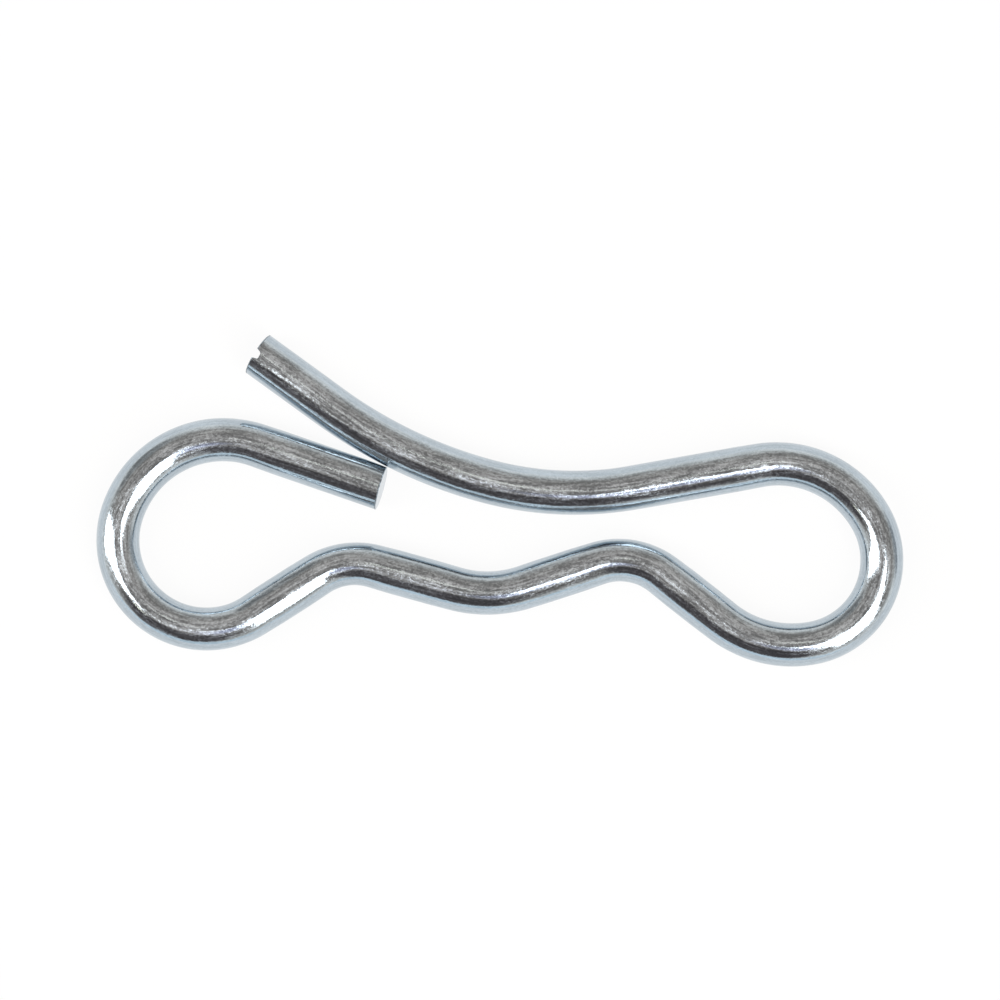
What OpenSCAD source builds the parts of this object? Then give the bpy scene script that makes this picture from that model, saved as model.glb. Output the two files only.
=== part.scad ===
// Bow tie cotter pin: one length of round spring wire, bent in one plane into the
// shape of a bow tie. The long leg goes through the cross hole of a shaft, and the
// dip between the two humps seats on the outside of that shaft. The leg's tip snaps
// past the short hook into the left loop and is kept there.
//
// The pin lies flat. +X points from the left loop to the right one, and +Y from the
// dip to the long leg. Lengths are in millimetres. Headings, turns and slopes are in
// degrees, and a heading is counted anticlockwise from +X. Bend radii are inside
// radii, so they are the radii of the pegs that the wire is bent around.

/* [Wire and shaft] */
// Diameter of the spring wire
wire_d = 3.175; // [2:0.005:4]
// Diameter of the shaft that the pin locks
shaft_d = 12.7; // [11:0.1:15]
// How much the dip's radius is over the shaft's
seat_ease = 0.7; // [0.1:0.1:1.5]

/* [Right side of the dip] */
// Slope of the dip's right side
right_rise_slope = 18; // [12:0.5:24]
// Length of the straight up to the right hump
right_rise_len = 5.4; // [4:0.1:7]
// Radius of the right hump
right_hump_r = 3.5; // [2.5:0.1:4.5]
// Slope from the right hump down to the right loop
right_fall_slope = 38; // [32:0.5:44]
// Length of the straight down to the right loop
right_fall_len = 5.25; // [4:0.05:6.5]

/* [Right loop] */
// Radius of the loop's foot
foot_r = 6.5; // [5:0.1:8]
// Heading at which the foot turns into the nose
foot_to_heading = 11; // [5:1:30]
// Radius of the loop's nose
right_nose_r = 4.4; // [3.6:0.1:5.2]
// Heading at which the nose turns into the loop's top
right_nose_to_heading = 119; // [110:1:130]

/* [Long leg] */
// Slope of the leg down from the right loop's top
leg_drop = 10; // [6:0.5:14]
// Radius of the leg's sweep up to the shaft's centre
sweep_in_r = 22.4; // [17:0.2:28]
// Slope of the leg at the shaft's centre, up to the left
leg_slope = 15; // [11:0.5:19]
// Radius of the leg's sweep past the shaft
sweep_out_r = 32.4; // [26:0.2:40]
// Slope of the leg's straight tip
tip_slope = 36; // [32:0.5:42]
// Length of the leg's straight tip
tip_len = 6.4; // [5:0.1:8]
// Lean of the tip's cut end: above 0, its upper edge reaches further
tip_end_lean = 5; // [-15:1:15]

/* [Left side of the dip] */
// Slope of the dip's left side
left_rise_slope = 15.5; // [10:0.5:21]
// Length of the straight up to the left hump
left_rise_len = 5.9; // [4.5:0.1:7.5]
// Radius of the left hump
left_hump_r = 3.5; // [2.5:0.1:4.5]
// Slope from the left hump down to the left loop
left_fall_slope = 32.5; // [27:0.5:38]
// Length of the straight down to the left loop
left_fall_len = 5.3; // [4:0.1:6.5]

/* [Left loop and hook] */
// Radius of the loop's nose
left_nose_r = 4.7; // [3.8:0.1:5.6]
// Heading at which the nose turns into the loop's back, seen in a mirror
left_nose_to_heading = 108; // [100:1:120]
// Slope of the hook's arm, down to the right
hook_slope = 19; // [14:0.5:24]
// Length of the hook's straight arm
hook_len = 9.7; // [8:0.1:10.5]
// Gap between the hook's end and the underside of the leg
hook_gap = 0.05; // [0.02:0.01:1]
// Lean of the hook's cut end: above 0, its upper edge reaches further
hook_end_lean = -9; // [-15:1:15]

/* [Hidden] */
$fn = 64;

// Bends are drawn this much thinner than the straights, and straights run this far
// into the bends beside them, so that no two faces of the wire only just touch
bend_thinning = 0.01;
lap = 0.05;

// A place on the wire's centre line is [point, heading], and a move along it is
// [bend radius, turn, length of the straight after the bend]
function along(heading) = [cos(heading), sin(heading)];
function left_of(heading) = [-sin(heading), cos(heading)];
function bend_centre(at, radius, turn) = at[0] + sign(turn) * radius * left_of(at[1]);
function after_bend(at, radius, turn) =
  [bend_centre(at, radius, turn) - sign(turn) * radius * left_of(at[1] + turn), at[1] + turn];
function after_run(at, run) = [at[0] + run * along(at[1]), at[1]];
function after(at, move) = after_run(after_bend(at, move[0], move[1]), move[2]);
function walk(at, moves, i = 0) = i == len(moves) ? at : walk(after(at, moves[i]), moves, i + 1);

// Both sides start at the floor of the dip, with the shaft's centre as [0, 0]
wire_r = wire_d / 2;
dip_depth = shaft_d / 2 + wire_r;
dip_bend_r = dip_depth + seat_ease;
dip_floor = [[0, -dip_depth], 0];

// Right side, as far as the loop's nose
right_hump = [
  [dip_bend_r, right_rise_slope, right_rise_len],
  [right_hump_r + wire_r, -right_rise_slope - right_fall_slope, right_fall_len]
];
foot_start = walk(dip_floor, right_hump);
foot = [foot_r + wire_r, foot_to_heading + right_fall_slope, 0];
foot_centre = bend_centre(foot_start, foot[0], foot[1]);
right_nose_start = after(foot_start, foot);
right_nose = [right_nose_r + wire_r, right_nose_to_heading - foot_to_heading, 0];
right_nose_centre = bend_centre(right_nose_start, right_nose[0], right_nose[1]);

// The leg crosses the shaft's centre where its two sweeps meet. The loop's top bend is
// as wide as it must be to turn from the nose on to the line of the leg's first straight.
leg_heading = 180 + leg_drop;
cross_heading = 180 - leg_slope;
sweep_in = [sweep_in_r + wire_r, -leg_drop - leg_slope, 0];
sweep_in_centre = -sweep_in[0] * left_of(cross_heading);
sweep_start = sweep_in_centre + sweep_in[0] * left_of(leg_heading);
top_turn = leg_heading - right_nose_to_heading;
nose_reach = (right_nose_centre - sweep_start) * left_of(leg_heading);
top_bend_r = (nose_reach - right_nose[0] * cos(top_turn)) / (1 - cos(top_turn));
top_start = after(right_nose_start, right_nose);
top_end = after_bend(top_start, top_bend_r, top_turn);
leg_run = (sweep_start - top_end[0]) * along(leg_heading);
top = [top_bend_r, top_turn, leg_run];
sweep_out = [sweep_out_r + wire_r, leg_slope - tip_slope, 0];
right_side = concat(right_hump, [foot, right_nose, top, sweep_in, sweep_out]);
tip_start = walk(dip_floor, right_side);
tip_end = after_run(tip_start, tip_len);

// Left side, laid out to the right and mirrored when it is drawn
left_hump = [
  [dip_bend_r, left_rise_slope, left_rise_len],
  [left_hump_r + wire_r, -left_rise_slope - left_fall_slope, left_fall_len]
];
left_nose_start = walk(dip_floor, left_hump);
left_nose = [left_nose_r + wire_r, left_nose_to_heading + left_fall_slope, 0];
left_nose_centre = bend_centre(left_nose_start, left_nose[0], left_nose[1]);
back_start = after(left_nose_start, left_nose);

// The loop's back bend is as wide as it must be for the hook's upper corner to end
// hook_gap below the underside of the leg's outer sweep: back_bend_r is the smaller
// root of |corner_base + back_bend_r * corner_shift| = leg_clear
arm_heading = 180 + hook_slope;
sweep_out_centre = sweep_out[0] * left_of(leg_slope);
leg_clear = sweep_out[0] + wire_r + hook_gap;
corner_shift = left_of(left_nose_to_heading) - left_of(arm_heading);
arm_base = back_start[0] + hook_len * along(arm_heading);
corner_base = arm_base - wire_r * left_of(arm_heading) - sweep_out_centre;
corner_along = corner_base * corner_shift / (corner_shift * corner_shift);
corner_miss = (corner_base * corner_base - leg_clear * leg_clear) / (corner_shift * corner_shift);
back_bend_r = -corner_along - sqrt(corner_along * corner_along - corner_miss);
left_side = concat(left_hump, [left_nose, [back_bend_r, arm_heading - left_nose_to_heading, 0]]);

// Where the pin reaches furthest to each side, seen from the shaft's centre
right_reach = right_nose_centre[0] + right_nose[0] + wire_r;
left_reach = left_nose_centre[0] + left_nose[0] + wire_r;
top_reach = tip_end[0][1] + wire_r * cos(tip_slope);
right_bottom = foot_centre[1] - foot[0] - wire_r;
left_bottom = left_nose_centre[1] - left_nose[0] - wire_r;
bottom_reach = min(right_bottom, left_bottom);

// A straight piece of wire along +X, lapped into the bends at both of its ends
module straight(run) {
  translate([-lap, 0, 0])
    rotate([0, 90, 0])
      cylinder(d = wire_d, h = run + 2 * lap);
}

// The last straight of the wire, cut off at run with a lean from square
module cut_end(run, lean) {
  cutter = 2 * wire_d;
  difference() {
    translate([-lap, 0, 0])
      rotate([0, 90, 0])
        cylinder(d = wire_d, h = lap + run + wire_d);
    translate([run, 0, 0])
      rotate([0, lean, 0])
        translate([0, -cutter / 2, -cutter / 2])
          cube(cutter);
  }
}

// A bend that starts along +X and turns to the left, or to the right below 0
module bend(radius, turn) {
  mirror([0, turn < 0 ? 1 : 0, 0])
    translate([0, radius, 0])
      rotate(-90)
        rotate_extrude(angle = abs(turn))
          translate([radius, 0])
            circle(d = wire_d - bend_thinning);
}

// Puts its children at the end of such a bend
module at_end_of(radius, turn) {
  centre = [0, sign(turn) * radius, 0];
  translate(centre)
    rotate(turn)
      translate(-centre)
        children();
}

// The wire along a list of moves, with its children at the end of the last bend
module follow(moves, i = 0) {
  radius = moves[i][0];
  turn = moves[i][1];
  run = moves[i][2];
  bend(radius, turn);
  at_end_of(radius, turn)
    if (i + 1 < len(moves)) {
      straight(run);
      translate([run, 0, 0])
        follow(moves, i + 1)
          children();
    } else {
      children();
    }
}

module pin_wire() {
  color("silver")
    translate([(left_reach - right_reach) / 2, -(top_reach + bottom_reach) / 2, wire_r])
      translate(dip_floor[0]) {
        union() {
          straight(0);
          follow(right_side)
            cut_end(tip_len, tip_end_lean);
        }
        mirror([1, 0, 0])
          follow(left_side)
            cut_end(hook_len, hook_end_lean);
      }
}

pin_wire();
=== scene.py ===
from math import cos, pi, radians, sin, sqrt, tan

import bmesh
import bpy
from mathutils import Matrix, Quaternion, Vector


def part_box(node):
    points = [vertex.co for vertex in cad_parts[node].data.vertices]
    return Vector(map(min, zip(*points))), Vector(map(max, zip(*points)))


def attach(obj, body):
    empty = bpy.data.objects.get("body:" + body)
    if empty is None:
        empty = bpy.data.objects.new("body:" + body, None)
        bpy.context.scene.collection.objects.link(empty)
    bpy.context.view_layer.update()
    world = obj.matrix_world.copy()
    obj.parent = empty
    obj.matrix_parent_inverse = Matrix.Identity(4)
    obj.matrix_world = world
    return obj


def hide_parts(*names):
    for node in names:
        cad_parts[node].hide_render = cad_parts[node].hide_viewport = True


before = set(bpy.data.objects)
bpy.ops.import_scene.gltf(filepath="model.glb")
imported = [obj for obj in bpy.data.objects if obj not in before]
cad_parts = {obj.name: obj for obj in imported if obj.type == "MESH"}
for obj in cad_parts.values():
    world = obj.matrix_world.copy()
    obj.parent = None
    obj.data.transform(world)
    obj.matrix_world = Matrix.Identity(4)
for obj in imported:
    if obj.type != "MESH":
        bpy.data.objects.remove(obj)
WIRE_NODE = "pin_wire"
BODY = "root"
MM = 0.001
CAD_LOW, CAD_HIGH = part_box(WIRE_NODE)

bl_info = {
    "name": "Bow tie cotter pin",
    "version": (1, 0, 0),
    "blender": (4, 5, 0),
    "location": "View3D > Sidebar > Cotter pin",
    "description": "Builds a bow tie cotter pin from one zinc plated spring wire",
    "category": "Add Mesh",
}


def length(name, description, millimetres):
    """A length property, with its default given in millimetres."""
    return bpy.props.FloatProperty(
        name=name, description=description, default=millimetres * MM, unit="LENGTH", precision=5
    )


def angle(name, description, degrees):
    """An angle property, with its default given in degrees."""
    return bpy.props.FloatProperty(
        name=name, description=description, default=radians(degrees), subtype="ANGLE"
    )


def share(name, description, value):
    """A plain number between 0 and 1."""
    return bpy.props.FloatProperty(
        name=name, description=description, default=value, min=0, max=1
    )


def hex_colour(name, description, value):
    """An sRGB colour, kept as six hex digits."""
    return bpy.props.StringProperty(name=name, description=description, default=value)


class WireSizes(bpy.types.PropertyGroup):
    """The bends and straights of the wire. Bend radii are inside radii."""

    shaft_d: length("Shaft", "Diameter of the shaft that the pin locks", 12.7)
    seat_ease: length("Seat ease", "How much the dip's radius is over the shaft's", 0.7)
    right_rise_slope: angle("Right rise", "Slope of the dip's right side", 18)
    right_rise_len: length("Right rise length", "Straight up to the right hump", 5.4)
    right_hump_r: length("Right hump", "Radius of the right hump", 3.5)
    right_fall_slope: angle("Right fall", "Slope down to the right loop", 38)
    right_fall_len: length("Right fall length", "Straight down to the right loop", 5.25)
    foot_r: length("Foot", "Radius of the right loop's foot", 6.5)
    foot_to_heading: angle("Foot to nose", "Heading at which the foot turns into the nose", 11)
    right_nose_r: length("Right nose", "Radius of the right loop's nose", 4.4)
    right_nose_to_heading: angle(
        "Nose to top", "Heading at which the nose turns into the top", 119
    )
    leg_drop: angle("Leg drop", "Slope of the leg down from the right loop", 10)
    sweep_in_r: length("Sweep in", "Radius of the leg's sweep up to the shaft's centre", 22.4)
    leg_slope: angle("Leg slope", "Slope of the leg at the shaft's centre", 15)
    sweep_out_r: length("Sweep out", "Radius of the leg's sweep past the shaft", 32.4)
    tip_slope: angle("Tip slope", "Slope of the leg's straight tip", 36)
    tip_len: length("Tip length", "Length of the leg's straight tip", 6.4)
    left_rise_slope: angle("Left rise", "Slope of the dip's left side", 15.5)
    left_rise_len: length("Left rise length", "Straight up to the left hump", 5.9)
    left_hump_r: length("Left hump", "Radius of the left hump", 3.5)
    left_fall_slope: angle("Left fall", "Slope down to the left loop", 32.5)
    left_fall_len: length("Left fall length", "Straight down to the left loop", 5.3)
    left_nose_r: length("Left nose", "Radius of the left loop's nose", 4.7)
    left_nose_to_heading: angle(
        "Nose to back", "Heading at which the nose turns into the back", 108
    )
    hook_slope: angle("Hook slope", "Slope of the hook's arm", 19)
    hook_len: length("Hook length", "Length of the hook's straight arm", 9.7)
    hook_gap: length("Hook gap", "Gap between the hook's end and the leg", 0.05)


class EndShapes(bpy.types.PropertyGroup):
    """What the shear and the bending pegs did to the round section."""

    bend_squeeze: share("Bend squeeze", "Narrowing of a bend, for a radius of half the wire", 0.14)
    squeeze_ease: length("Squeeze ease", "Length over which the narrowing comes and goes", 3.0)
    tip_lean: angle("Tip lean", "How far the tip's upper edge leans forward", 8)
    tip_skew: angle("Tip skew", "How far the tip's outer side leans forward", 3.4)
    hook_lean: angle("Hook lean", "How far the hook's upper edge is set back", 5)
    hook_skew: angle("Hook skew", "How far the hook's outer side is set back", 3.6)
    rim_radius: length("Rim radius", "Rounding of the cut ends' rims", 0.1)
    nick_depth: length("Nick depth", "Depth of the nick in the tip's end", 0.42)
    nick_width: length("Nick width", "Width of the nick at its floor", 0.5)
    nick_wall: length("Nick wall", "Width of each of the nick's walls", 0.1)
    nick_shift: length("Nick shift", "How far the nick is off the wire's middle", 0.07)
    nick_reach: length("Nick reach", "How far in from the end the nick draws the wire", 1.0)
    hook_trim: length("Hook trim", "How far the hook's end is cut back", 0.4)
    arm_lift: length("Arm lift", "How much closer the hook's arm lies to the leg", 0.16)
    roll_drop: length("Roll drop", "How far the hook's upper corner is rolled down", 0.07)
    roll_reach: length("Roll reach", "Length over which that corner is rolled down", 2.2)


class ZincFinish(bpy.types.PropertyGroup):
    """Bright zinc plate on drawn wire."""

    plate: hex_colour("Plate", "Colour of the plate", "B6C1C9")
    roughness: share("Roughness", "Roughness of the bright plate", 0.09)
    fleck_roughness: share("Fleck roughness", "Roughness of the plate in its flecks", 0.24)
    streak_width: length("Streak width", "Width of the drawing streaks", 0.19)
    streak_length: length("Streak length", "Length of the drawing streaks", 2.2)
    grain_width: length("Grain width", "Width of the plate's grain", 0.15)
    grain_length: length("Grain length", "Length of the plate's grain", 0.24)
    grain_swirl: share("Grain swirl", "How much the grain curls", 1.0)
    patch_size: length("Patch size", "Length of the patches with more or fewer flecks", 4)
    dark_level: share("Dark level", "Brightness of the plate between its flecks", 0.5)
    fleck_level: bpy.props.FloatProperty(
        name="Fleck level",
        description="Brightness of the plate in its flecks, as a share of its own colour",
        default=1.75,
        min=1,
        max=2,
    )
    # painted light: the flanks keep less of the flecks' contrast, as they mirror the even floor
    painted_flank_share: share("Flank share", "How much of the flecks' contrast the flanks keep", 0.2)
    grain_height: length("Grain height", "Height of the streaks and grain", 0.0028)


class StudioSettings(bpy.types.PropertyGroup):
    """Floor, lamps and camera."""

    view_width: length("View width", "Width that the picture takes in", 71)
    camera_height: length("Camera height", "Height of the camera above the wire", 500)
    camera_aside: length("Camera aside", "How far the camera is from the pin's middle in Y", 0.09)
    lamp_distance: length("Lamp distance", "Distance of the lamps from the pin", 2000)
    floor_size: length("Floor size", "Side of the floor", 4000)
    floor_glow: share("Floor glow", "Share of the floor's white that glows by itself", 0.92)


def linear(hex_digits):
    """The linear RGBA of an sRGB hex colour."""
    channels = [int(hex_digits[i:i + 2], 16) / 255 for i in (0, 2, 4)]
    return [c / 12.92 if c <= 0.04045 else ((c + 0.055) / 1.055) ** 2.4 for c in channels] + [1]


def add_node(tree, kind, settings=None, **links):
    """Adds a node, sets its attributes, and sets or links its inputs."""
    node = tree.nodes.new(kind)
    for name, value in (settings or {}).items():
        setattr(node, name, value)
    for name, value in links.items():
        key = int(name[1:]) if name[0] == "_" else name.replace("_", " ")
        if isinstance(value, bpy.types.NodeSocket):
            tree.links.new(value, node.inputs[key])
        else:
            node.inputs[key].default_value = value
    return node


def along(heading):
    return Vector((cos(heading), sin(heading)))


def left_of(heading):
    return Vector((-sin(heading), cos(heading)))


class Stretch:
    """One bend or straight of the wire, from a place on its centre line."""

    def __init__(self, point, heading, radius, turn, run):
        self.point = point
        self.heading = heading
        self.side = 1 if turn > 0 else -1
        self.radius = radius
        self.length = radius * abs(turn) if turn else run
        self.curvature = self.side / radius if turn else 0
        self.centre = point + self.side * radius * left_of(heading)

    def at(self, distance):
        """The point and the heading that far along."""
        if not self.curvature:
            return self.point + distance * along(self.heading), self.heading
        heading = self.heading + distance * self.curvature
        return self.centre - self.side * self.radius * left_of(heading), heading


def lay_out(point, heading, moves):
    """The stretches of [bend radius, turn, length of the straight after the bend] moves."""
    stretches = []
    for radius, turn, run in moves:
        for piece in ((radius, turn, 0), (0, 0, run)):
            if piece[1] or piece[2]:
                stretches.append(Stretch(point, heading, *piece))
                point, heading = stretches[-1].at(stretches[-1].length)
    return stretches


def wire_sides(sizes, wire_r, arm_lift):
    """The stretches of the right and left sides, both from the floor of the dip, with the
    shaft's centre at the origin. The left side is laid out to the right, as in a mirror."""
    dip_depth = sizes.shaft_d / 2 + wire_r
    dip_floor = Vector((0, -dip_depth))
    dip_bend_r = dip_depth + sizes.seat_ease

    right = [
        [dip_bend_r, sizes.right_rise_slope, sizes.right_rise_len],
        [
            sizes.right_hump_r + wire_r,
            -sizes.right_rise_slope - sizes.right_fall_slope,
            sizes.right_fall_len,
        ],
        [sizes.foot_r + wire_r, sizes.foot_to_heading + sizes.right_fall_slope, 0],
    ]
    nose_r = sizes.right_nose_r + wire_r
    right.append([nose_r, sizes.right_nose_to_heading - sizes.foot_to_heading, 0])
    nose = lay_out(dip_floor, 0, right)[-1]

    leg_heading = pi + sizes.leg_drop
    cross_heading = pi - sizes.leg_slope
    sweep_in_r = sizes.sweep_in_r + wire_r
    sweep_start = sweep_in_r * (left_of(leg_heading) - left_of(cross_heading))
    top_turn = leg_heading - sizes.right_nose_to_heading
    nose_reach = (nose.centre - sweep_start).dot(left_of(leg_heading))
    top_r = (nose_reach - nose_r * cos(top_turn)) / (1 - cos(top_turn))
    right.append([top_r, top_turn, 0])
    top = lay_out(dip_floor, 0, right)[-1]
    right[-1][2] = (sweep_start - top.at(top.length)[0]).dot(along(leg_heading))
    sweep_out_r = sizes.sweep_out_r + wire_r
    right.append([sweep_in_r, -sizes.leg_drop - sizes.leg_slope, 0])
    right.append([sweep_out_r, sizes.leg_slope - sizes.tip_slope, sizes.tip_len])

    left = [
        [dip_bend_r, sizes.left_rise_slope, sizes.left_rise_len],
        [
            sizes.left_hump_r + wire_r,
            -sizes.left_rise_slope - sizes.left_fall_slope,
            sizes.left_fall_len,
        ],
        [sizes.left_nose_r + wire_r, sizes.left_nose_to_heading + sizes.left_fall_slope, 0],
    ]
    nose = lay_out(dip_floor, 0, left)[-1]
    nose_end = nose.at(nose.length)[0]
    arm_heading = pi + sizes.hook_slope
    # the hook's end is cut back and its corner rolled down, so its arm can lie closer
    leg_clear = sweep_out_r + wire_r + sizes.hook_gap - arm_lift
    shift = left_of(sizes.left_nose_to_heading) - left_of(arm_heading)
    corner = nose_end + sizes.hook_len * along(arm_heading) - wire_r * left_of(arm_heading)
    base = corner - sweep_out_r * left_of(sizes.leg_slope)
    half = base.dot(shift) / shift.length_squared
    miss = (base.length_squared - leg_clear**2) / shift.length_squared
    back_r = -half - sqrt(half**2 - miss)
    left.append([back_r, arm_heading - sizes.left_nose_to_heading, sizes.hook_len])
    return lay_out(dip_floor, 0, right), lay_out(dip_floor, 0, left)


def mean_bend(side, distance, window):
    """The mean curvature of the wire, without its sign, around a distance from the dip."""
    low = max(distance - window / 2, 0)
    high = distance + window / 2
    start, total = 0, 0
    for stretch in side:
        inside = min(high, start + stretch.length) - max(low, start)
        total += max(inside, 0) * abs(stretch.curvature)
        start += stretch.length
    return total / (high - low)


def bend_wire(mesh, sides, origin, squeeze, window):
    """Moves the points of the straight wire to where the bent wire has them."""
    narrowing = {}
    for vertex in mesh.vertices:
        drawn = vertex.co.copy()
        side = sides[0] if drawn.x >= 0 else sides[1]
        distance = abs(drawn.x)
        ring = round(distance / MM, 2), drawn.x >= 0
        if ring not in narrowing:
            narrowing[ring] = 1 - squeeze * mean_bend(side, distance, window)
        for stretch in side:
            if distance <= stretch.length or stretch is side[-1]:
                break
            distance -= stretch.length
        centre, heading = stretch.at(distance)
        place = centre + drawn.y * narrowing[ring] * left_of(heading)
        mirrored = 1 if drawn.x >= 0 else -1
        vertex.co = origin + Vector((mirrored * place.x, place.y, drawn.z))


def deselect_all():
    bpy.ops.object.select_all(action="DESELECT")


def pick(test, kind="edges"):
    """Selects the edges or faces of the mesh in edit mode that pass the test."""
    mesh = bmesh.from_edit_mesh(bpy.context.edit_object.data)
    bpy.ops.mesh.select_all(action="DESELECT")
    bpy.ops.mesh.select_mode(type="EDGE" if kind == "edges" else "FACE")
    for element in getattr(mesh, kind):
        element.select_set(test(element))
    mesh.select_flush_mode()
    bmesh.update_edit_mesh(bpy.context.edit_object.data)


# How finely the wire is cut: round it, along it in two goes, near its ends, across its caps
SIDES = 96
FIRST_CUTS = 100
SECOND_CUTS = 6
END_CUTS = 4
CAP_RINGS = 9
RIM_SEGMENTS = 3
# Less than the distance between any two rings of points
HAIR = 0.01 * MM
# A face whose normal has more than this along the wire belongs to a cut end
CAP_NORMAL = 0.99


def lengthwise(edge):
    return abs(edge.verts[0].co.x - edge.verts[1].co.x) > HAIR


def draw_wire(wire_r, low, high, ends):
    """The straight wire along X, cut off at both ends."""
    deselect_all()
    bpy.ops.mesh.primitive_cylinder_add(
        vertices=SIDES,
        radius=wire_r,
        depth=high - low,
        end_fill_type="NGON",
        location=((low + high) / 2, 0, 0),
        rotation=(0, pi / 2, 0),
    )
    wire = bpy.context.active_object
    wire.name = "bent_wire"
    bpy.ops.object.transform_apply(location=True, rotation=True, scale=True)
    bpy.ops.object.mode_set(mode="EDIT")
    pick(lengthwise)
    bpy.ops.mesh.subdivide(number_cuts=FIRST_CUTS)
    pick(lengthwise)
    bpy.ops.mesh.subdivide(number_cuts=SECOND_CUTS)

    def near_an_end(edge):
        x = (edge.verts[0].co.x + edge.verts[1].co.x) / 2
        return lengthwise(edge) and min(x - low, high - x) < ends.nick_reach

    def on_a_rim(edge):
        x = edge.verts[0].co.x
        return not lengthwise(edge) and min(x - low, high - x) < HAIR

    pick(near_an_end)
    bpy.ops.mesh.subdivide(number_cuts=END_CUTS)
    pick(on_a_rim)
    bpy.ops.mesh.bevel(
        offset=ends.rim_radius, segments=RIM_SEGMENTS, profile=0.5, affect="EDGES"
    )
    pick(lambda face: abs(face.normal.x) > CAP_NORMAL, "faces")
    for _ in range(CAP_RINGS):
        bpy.ops.mesh.inset(thickness=(wire_r - ends.rim_radius) / (CAP_RINGS + 1))
    bpy.ops.mesh.poke()
    bpy.ops.object.mode_set(mode="OBJECT")
    return wire


# How far in the lean and skew of the ends reach, against the nick
LEAN_REACH = 2
# Height of the lip along the nick, against the nick's wall
LIP_HEIGHT = 0.3


def shape_ends(mesh, wire_r, low, high, ends):
    """Leans and skews both cut ends, nicks the tip and rolls the hook's upper corner down."""
    for vertex in mesh.vertices:
        x, y, z = vertex.co
        tip = max(0, 1 - (high - x) / (LEAN_REACH * ends.nick_reach))
        hook = max(0, 1 - (x - low) / (LEAN_REACH * ends.nick_reach))
        vertex.co.x += tip * (z * tan(ends.tip_lean) - (y + wire_r) * tan(ends.tip_skew))
        vertex.co.x += hook * (z * tan(ends.hook_lean) - y * tan(ends.hook_skew))
        off_nick = abs(y - ends.nick_shift) - ends.nick_width / 2
        bite = min(1, max(0, 1 - off_nick / ends.nick_wall))
        near_tip = max(0, 1 - (high - x) / ends.nick_reach)
        vertex.co.x -= ends.nick_depth * bite * near_tip**2
        # the cutter pushed a small lip up along the nick
        lip = max(0, 1 - abs(off_nick / ends.nick_wall - 2)) * near_tip**4
        radial = Vector((0, y, z)).normalized()
        lip *= LIP_HEIGHT * ends.nick_wall * sqrt(max(0, 1 - abs(y) / wire_r))
        vertex.co += lip * radial
        rolled = max(0, 1 - (x - low) / ends.roll_reach) ** 2
        vertex.co.y += ends.roll_drop * rolled * max(0, -y / wire_r)


# Streaks and grain lie around 0.5 each. These are the spans of their sum over which the
# plate goes from dark to a fleck, and from bright to dull
FLECK_SPAN = (0.75, 1.35)
DULL_SPAN = (0.95, 1.3)
# Span of the patches' noise, how much they add to that sum, and their width by their length
PATCH_SPAN = (0.3, 0.7)
PATCH_COVER = 0.1
PATCH_WIDTH = 0.3
# Share of the wire's radius, up or down from its middle, at which the flecks get stronger: painted
# light, as the flanks mirror the even floor
CROWN_START = 0.7


def zinc_plate(finish, wire_r):
    """Bright zinc plate on hard drawn wire. It is nearly a mirror, flecked by the drawing streaks
    and its own fine grain. The flecks are painted stronger on the two faces that the pin lies on
    and fainter on the
    flanks: painted light, standing for the flanks' mirror of the even floor, which hides the
    flecks."""
    material = bpy.data.materials.new("bright_zinc_plate")
    material.use_nodes = True
    tree = material.node_tree
    tree.nodes.clear()
    drawn = add_node(tree, "ShaderNodeAttribute", {"attribute_name": "drawn"}).outputs["Vector"]

    def noise(length, width, swirl=0):
        """Noise whose cells are that long along the wire and that wide across it."""
        place = add_node(
            tree,
            "ShaderNodeMapping",
            Vector=drawn,
            Scale=(1 / length, 1 / width, 1 / width),
        )
        cells = add_node(
            tree,
            "ShaderNodeTexNoise",
            Vector=place.outputs[0],
            Scale=1,
            Detail=1,
            Distortion=swirl,
        )
        return cells.outputs[0]

    def blend(value, low, high, to_low=0, to_high=1):
        span = {"From_Min": low, "From_Max": high, "To_Min": to_low, "To_Max": to_high}
        return add_node(tree, "ShaderNodeMapRange", Value=value, **span).outputs[0]

    streaks = noise(finish.streak_length, finish.streak_width)
    grain = noise(finish.grain_length, finish.grain_width, finish.grain_swirl)
    patches = noise(finish.patch_size, PATCH_WIDTH * finish.patch_size)
    height = add_node(
        tree, "ShaderNodeMath", {"operation": "ADD"}, _0=streaks, _1=grain
    ).outputs[0]
    cover = blend(patches, *PATCH_SPAN, -PATCH_COVER, PATCH_COVER)
    height = add_node(tree, "ShaderNodeMath", {"operation": "ADD"}, _0=height, _1=cover)
    height = height.outputs[0]
    level = blend(height, *FLECK_SPAN, finish.dark_level, finish.fleck_level)
    # painted light: the flecks fade toward the flanks, which mirror the even floor, and are
    # strongest on the top and underside
    axes = add_node(tree, "ShaderNodeSeparateXYZ", Vector=drawn)
    from_middle = add_node(
        tree, "ShaderNodeMath", {"operation": "ABSOLUTE"}, _0=axes.outputs[2]
    ).outputs[0]
    contrast = blend(from_middle, CROWN_START * wire_r, wire_r, finish.painted_flank_share, 1)
    level = add_node(tree, "ShaderNodeMix", {"data_type": "FLOAT"}, _0=contrast, _2=1, _3=level)
    colour = add_node(
        tree,
        "ShaderNodeVectorMath",
        {"operation": "SCALE"},
        _0=linear(finish.plate)[:3],
        Scale=level.outputs[0],
    )
    roughness = blend(height, *DULL_SPAN, finish.roughness, finish.fleck_roughness)
    bump = add_node(
        tree,
        "ShaderNodeBump",
        Height=height,
        Distance=finish.grain_height,
        Strength=1,
    )
    shader = add_node(
        tree,
        "ShaderNodeBsdfPrincipled",
        Base_Color=colour.outputs[0],
        Metallic=1,
        Roughness=roughness,
        Normal=bump.outputs[0],
    )
    add_node(tree, "ShaderNodeOutputMaterial", Surface=shader.outputs[0])
    return material


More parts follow.
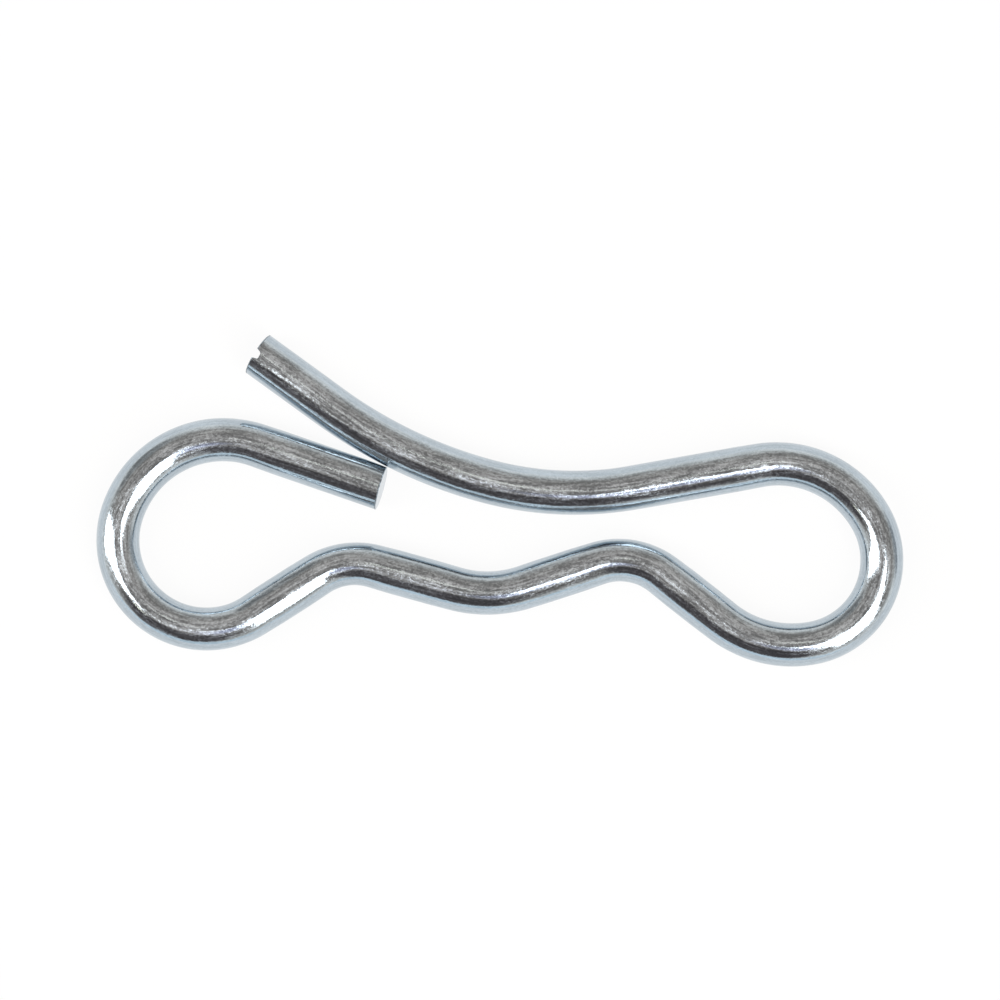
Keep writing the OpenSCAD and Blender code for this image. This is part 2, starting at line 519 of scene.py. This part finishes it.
class COTTER_OT_wire(bpy.types.Operator):
    """Draw the wire straight, cut and mark its ends, and bend it round into the bow tie"""

    bl_idname = "cotter.wire"
    bl_label = "Bent wire"

    def execute(self, context):
        scene = context.scene
        wire_r = (CAD_HIGH[2] - CAD_LOW[2]) / 2
        right, left = wire_sides(scene.wire_sizes, wire_r, scene.end_shapes.arm_lift)
        high = sum(stretch.length for stretch in right)
        low = scene.end_shapes.hook_trim - sum(stretch.length for stretch in left)
        wire = draw_wire(wire_r, low, high, scene.end_shapes)
        drawn = wire.data.attributes.new("drawn", "FLOAT_VECTOR", "POINT")
        for vertex, value in zip(wire.data.vertices, drawn.data):
            value.vector = vertex.co
        shape_ends(wire.data, wire_r, low, high, scene.end_shapes)
        foot, nose = right[4:6]
        shaft_x = CAD_HIGH[0] - nose.centre.x - nose.radius - wire_r
        shaft_y = CAD_LOW[1] - foot.centre.y + foot.radius + wire_r
        origin = Vector((shaft_x, shaft_y, CAD_LOW[2] + wire_r))
        squeeze = scene.end_shapes.bend_squeeze * wire_r
        bend_wire(wire.data, (right, left), origin, squeeze, scene.end_shapes.squeeze_ease)
        for polygon in wire.data.polygons:
            polygon.use_smooth = True
        wire.data.materials.append(zinc_plate(scene.zinc_finish, wire_r))
        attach(wire, BODY)
        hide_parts(WIRE_NODE)
        return {"FINISHED"}


PAPER = (0.95, 0.95, 0.95, 1)
WHITE = (1, 1, 1, 1)


def floor_paint(studio):
    """Matt white paper. Part of its white glows by itself for the camera and in reflections,
    and the rest is lit, so that the pin keeps a soft shadow."""
    material = bpy.data.materials.new("white_paper")
    material.use_nodes = True
    tree = material.node_tree
    tree.nodes.clear()
    rays = add_node(tree, "ShaderNodeLightPath").outputs
    seen = rays["Is Camera Ray"]
    for ray in ("Is Glossy Ray", "Is Transmission Ray"):
        seen = add_node(
            tree, "ShaderNodeMath", {"operation": "MAXIMUM"}, _0=seen, _1=rays[ray]
        ).outputs[0]
    share_of_glow = add_node(
        tree,
        "ShaderNodeMath",
        {"operation": "MULTIPLY"},
        _0=seen,
        _1=studio.floor_glow,
    )
    matt = add_node(tree, "ShaderNodeBsdfDiffuse", Color=PAPER)
    glow = add_node(tree, "ShaderNodeEmission", Color=WHITE, Strength=1)
    both = add_node(
        tree,
        "ShaderNodeMixShader",
        _0=share_of_glow.outputs[0],
        _1=matt.outputs[0],
        _2=glow.outputs[0],
    )
    add_node(tree, "ShaderNodeOutputMaterial", Surface=both.outputs[0])
    return material


def toward(azimuth, elevation=0):
    """The direction at that azimuth and elevation, both in degrees."""
    azimuth, elevation = radians(azimuth), radians(elevation)
    flat = cos(elevation)
    return Vector((flat * cos(azimuth), flat * sin(azimuth), sin(elevation)))


# The room by the sine of the elevation: white walls under a dimmer, warmer ceiling
ROOM = (
    (0, (1.1, 1.05, 1)),
    (0.1, (1.05, 1.02, 0.98)),
    (0.2, (0.92, 0.89, 0.85)),
    (0.34, (0.63, 0.59, 0.55)),
    (0.5, (0.48, 0.435, 0.4)),
    (0.64, (0.46, 0.41, 0.37)),
    (0.86, (0.56, 0.493, 0.45)),
    (1, (0.54, 0.478, 0.44)),
)
# Parts of the room that differ: azimuth, elevation, inner and outer half-angle, colour
ROOM_PARTS = (
    (-100, 34, 16, 29, (0.13, 0.113, 0.113)),
    (-120, 34, 16, 29, (0.13, 0.113, 0.113)),
    (8, 2, 8, 24, (0.42, 0.43, 0.44)),
    (135, 22, 8, 22, (0.32, 0.31, 0.3)),
    (-72, 67, 3, 13, (0.82, 0.8, 0.97)),
    (-105, -60, 72, 75, (0.9, 1.02, 1.1)),
)


def light_room(scene):
    """The room above the floor."""
    world = bpy.data.worlds.new("studio_room")
    scene.world = world
    world.use_nodes = True
    tree = world.node_tree
    tree.nodes.clear()
    outward = add_node(tree, "ShaderNodeTexCoord").outputs["Generated"]
    axes = add_node(tree, "ShaderNodeSeparateXYZ", Vector=outward)
    ramp = add_node(tree, "ShaderNodeValToRGB", Fac=axes.outputs[2])
    for i, (height, colour) in enumerate(ROOM):
        stop = ramp.color_ramp.elements[i] if i < 2 else ramp.color_ramp.elements.new(height)
        stop.position = height
        stop.color = (*colour, 1)
    colour = ramp.outputs[0]
    for azimuth, elevation, inner, outer, part_colour in ROOM_PARTS:
        nearness = add_node(
            tree,
            "ShaderNodeVectorMath",
            {"operation": "DOT_PRODUCT"},
            _0=outward,
            _1=toward(azimuth, elevation),
        )
        inside = add_node(
            tree,
            "ShaderNodeMapRange",
            {"interpolation_type": "SMOOTHSTEP"},
            Value=nearness.outputs["Value"],
            From_Min=cos(radians(outer)),
            From_Max=cos(radians(inner)),
        )
        colour = add_node(
            tree,
            "ShaderNodeMix",
            {"data_type": "RGBA"},
            _0=inside.outputs[0],
            _6=colour,
            _7=(*part_colour, 1),
        ).outputs[2]
    back = add_node(tree, "ShaderNodeBackground", Color=colour, Strength=1)
    add_node(tree, "ShaderNodeOutputWorld", Surface=back.outputs[0])


# Name, azimuth, elevation, roll, width, height, radiance, colour
LAMPS = (
    ("left_softbox", 184, 43.5, -18.8, 0.36, 1.09, 4, (1, 1, 1)),
    ("right_softbox", -44, 52.7, -8.6, 0.46, 0.94, 4, (1, 1, 1)),
    ("front_bulb", -138, 52, 0, 0.06, 0.06, 3, (1, 0.95, 0.75)),
    ("top_bulb", 78, 80, 0, 0.02, 0.15, 2, (1, 0.95, 0.82)),
)


def add_lamp(far, name, azimuth, elevation, roll, width, height, radiance, colour):
    """A flat lamp that faces the pin, as bright all over as a mirror shows it. Its angles are
    in degrees, and its width and height are shares of its distance."""
    deselect_all()
    bpy.ops.object.light_add(type="AREA")
    lamp = bpy.context.active_object
    lamp.name = name
    lamp.data.shape = "RECTANGLE"
    lamp.data.size = width * far
    lamp.data.size_y = height * far
    lamp.data.energy = radiance * pi * width * height * far**2
    lamp.data.color = colour
    outward = toward(azimuth, elevation)
    lamp.location = far * outward
    turned = outward.to_track_quat("Z", "Y") @ Quaternion((0, 0, 1), radians(roll))
    lamp.rotation_euler = turned.to_euler()


SENSOR_WIDTH = 36
# Nearest thing that the camera sees, as a share of its height
NEAR_CLIP = 0.1


class COTTER_OT_stage(bpy.types.Operator):
    """Lay a pale floor under the pin and light and frame it from above"""

    bl_idname = "cotter.stage"
    bl_label = "Floor, lamps and camera"

    def execute(self, context):
        scene = context.scene
        studio = scene.studio_settings
        deselect_all()
        bpy.ops.mesh.primitive_plane_add(size=studio.floor_size, location=(0, 0, CAD_LOW[2]))
        floor = context.active_object
        floor.name = "floor"
        floor.data.materials.append(floor_paint(studio))
        light_room(scene)
        for lamp in LAMPS:
            add_lamp(studio.lamp_distance, *lamp)
        above = CAD_HIGH[2] + studio.camera_height
        bpy.ops.object.camera_add(location=(0, studio.camera_aside, above))
        camera = context.active_object
        camera.data.sensor_width = SENSOR_WIDTH
        middle = studio.camera_height + (CAD_HIGH[2] - CAD_LOW[2]) / 2
        camera.data.lens = SENSOR_WIDTH * middle / studio.view_width
        camera.data.clip_start = NEAR_CLIP * studio.camera_height
        scene.camera = camera
        scene.view_settings.view_transform = "Standard"
        return {"FINISHED"}


class COTTER_PT_panel(bpy.types.Panel):
    """Lists the pieces in the sidebar"""

    bl_label = "Bow tie cotter pin"
    bl_idname = "COTTER_PT_panel"
    bl_space_type = "VIEW_3D"
    bl_region_type = "UI"
    bl_category = "Cotter pin"

    def draw(self, context):
        for operator in OPERATORS:
            self.layout.operator(operator.bl_idname)
        for name in SETTINGS:
            box = self.layout.box()
            group = getattr(context.scene, name)
            for value in group.__annotations__:
                box.prop(group, value)


SETTINGS = {
    "wire_sizes": WireSizes,
    "end_shapes": EndShapes,
    "zinc_finish": ZincFinish,
    "studio_settings": StudioSettings,
}
OPERATORS = (COTTER_OT_wire, COTTER_OT_stage)
CLASSES = (*SETTINGS.values(), *OPERATORS, COTTER_PT_panel)


def register():
    for kind in CLASSES:
        bpy.utils.register_class(kind)
    for name, kind in SETTINGS.items():
        setattr(bpy.types.Scene, name, bpy.props.PointerProperty(type=kind))


def unregister():
    for name in SETTINGS:
        delattr(bpy.types.Scene, name)
    for kind in reversed(CLASSES):
        bpy.utils.unregister_class(kind)


def main():
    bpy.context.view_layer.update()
    register()
    bpy.ops.cotter.wire()
    bpy.ops.cotter.stage()


if __name__ == "__main__":
    main()
